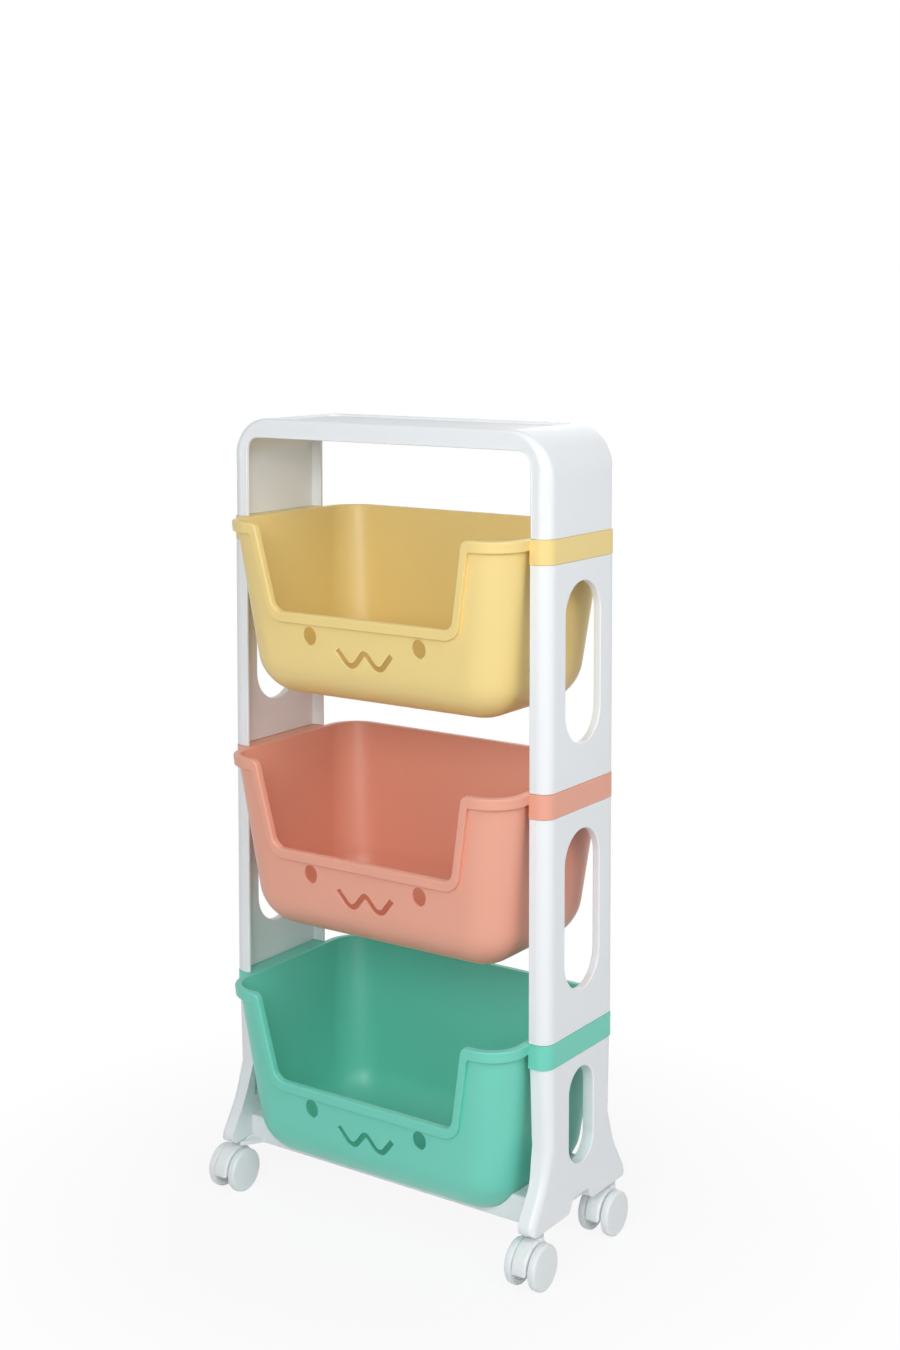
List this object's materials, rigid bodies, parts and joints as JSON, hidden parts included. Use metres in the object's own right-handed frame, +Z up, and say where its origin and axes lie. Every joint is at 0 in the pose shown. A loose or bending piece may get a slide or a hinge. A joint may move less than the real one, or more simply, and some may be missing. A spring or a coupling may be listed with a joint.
{
  "type": "toy storage organizer",
  "caption": "Tall narrow rolling storage organizer: white side frames and top board carry coloured open bins with a lowered front, on twin-wheel casters.",
  "frame": {"origin": "on the floor under the middle of the organizer", "axes": "+Z up, the lowered bin fronts face -Y, +X towards the right-hand side panel seen from the front"},
  "size_m": [0.4326, 0.234, 0.87],
  "materials": {
    "white_plastic": "satin moulded white",
    "yellow_plastic": "satin moulded pastel yellow",
    "coral_plastic": "satin moulded pastel coral",
    "mint_plastic": "satin moulded mint green",
    "caster_plastic": "moulded white housing",
    "wheel_plastic": "moulded pale wheel",
    "bush_plastic": "moulded pale bush",
    "steel": "plain zinc-plated steel"
  },
  "bodies": {
    "frame": {"top_frame": "white_plastic", "upper_side_left": "white_plastic", "upper_side_right": "white_plastic", "middle_side_left": "white_plastic", "middle_side_right": "white_plastic", "leg_left": "white_plastic", "leg_right": "white_plastic", "upper_bin": "yellow_plastic", "middle_bin": "coral_plastic", "lower_bin": "mint_plastic", "base_cradle": "white_plastic", "caster_front_left_bush": "bush_plastic", "caster_front_right_bush": "bush_plastic", "caster_rear_left_bush": "bush_plastic", "caster_rear_right_bush": "bush_plastic"},
    "caster_front_left": {"caster_front_left_stem": "steel", "caster_front_left_housing": "caster_plastic", "caster_front_left_axle": "steel"},
    "caster_front_left_wheel_left": {"caster_front_left_wheel_left": "wheel_plastic"},
    "caster_front_left_wheel_right": {"caster_front_left_wheel_right": "wheel_plastic"},
    "caster_front_right": {"caster_front_right_stem": "steel", "caster_front_right_housing": "caster_plastic", "caster_front_right_axle": "steel"},
    "caster_front_right_wheel_left": {"caster_front_right_wheel_left": "wheel_plastic"},
    "caster_front_right_wheel_right": {"caster_front_right_wheel_right": "wheel_plastic"},
    "caster_rear_left": {"caster_rear_left_stem": "steel", "caster_rear_left_housing": "caster_plastic", "caster_rear_left_axle": "steel"},
    "caster_rear_left_wheel_left": {"caster_rear_left_wheel_left": "wheel_plastic"},
    "caster_rear_left_wheel_right": {"caster_rear_left_wheel_right": "wheel_plastic"},
    "caster_rear_right": {"caster_rear_right_stem": "steel", "caster_rear_right_housing": "caster_plastic", "caster_rear_right_axle": "steel"},
    "caster_rear_right_wheel_left": {"caster_rear_right_wheel_left": "wheel_plastic"},
    "caster_rear_right_wheel_right": {"caster_rear_right_wheel_right": "wheel_plastic"}
  },
  "joints": [
    {"name": "caster_front_left_swivel", "type": "hinge", "parent": "frame", "child": "caster_front_left", "pos_m": [-0.198, -0.0725, 0.05], "axis": [0, 0, 1], "continuous": true},
    {"name": "caster_front_left_wheel_left_spin", "type": "hinge", "parent": "caster_front_left", "child": "caster_front_left_wheel_left", "pos_m": [-0.2118, -0.082, 0.0236], "axis": [1, 0, 0], "continuous": true},
    {"name": "caster_front_left_wheel_right_spin", "type": "hinge", "parent": "caster_front_left", "child": "caster_front_left_wheel_right", "pos_m": [-0.1842, -0.082, 0.0236], "axis": [1, 0, 0], "continuous": true},
    {"name": "caster_front_right_swivel", "type": "hinge", "parent": "frame", "child": "caster_front_right", "pos_m": [0.198, -0.0725, 0.05], "axis": [0, 0, 1], "continuous": true},
    {"name": "caster_front_right_wheel_left_spin", "type": "hinge", "parent": "caster_front_right", "child": "caster_front_right_wheel_left", "pos_m": [0.1842, -0.082, 0.0236], "axis": [1, 0, 0], "continuous": true},
    {"name": "caster_front_right_wheel_right_spin", "type": "hinge", "parent": "caster_front_right", "child": "caster_front_right_wheel_right", "pos_m": [0.2118, -0.082, 0.0236], "axis": [1, 0, 0], "continuous": true},
    {"name": "caster_rear_left_swivel", "type": "hinge", "parent": "frame", "child": "caster_rear_left", "pos_m": [-0.198, 0.0725, 0.05], "axis": [0, 0, 1], "continuous": true},
    {"name": "caster_rear_left_wheel_left_spin", "type": "hinge", "parent": "caster_rear_left", "child": "caster_rear_left_wheel_left", "pos_m": [-0.2118, 0.063, 0.0236], "axis": [1, 0, 0], "continuous": true},
    {"name": "caster_rear_left_wheel_right_spin", "type": "hinge", "parent": "caster_rear_left", "child": "caster_rear_left_wheel_right", "pos_m": [-0.1842, 0.063, 0.0236], "axis": [1, 0, 0], "continuous": true},
    {"name": "caster_rear_right_swivel", "type": "hinge", "parent": "frame", "child": "caster_rear_right", "pos_m": [0.198, 0.0725, 0.05], "axis": [0, 0, 1], "continuous": true},
    {"name": "caster_rear_right_wheel_left_spin", "type": "hinge", "parent": "caster_rear_right", "child": "caster_rear_right_wheel_left", "pos_m": [0.1842, 0.063, 0.0236], "axis": [1, 0, 0], "continuous": true},
    {"name": "caster_rear_right_wheel_right_spin", "type": "hinge", "parent": "caster_rear_right", "child": "caster_rear_right_wheel_right", "pos_m": [0.2118, 0.063, 0.0236], "axis": [1, 0, 0], "continuous": true}
  ]
}
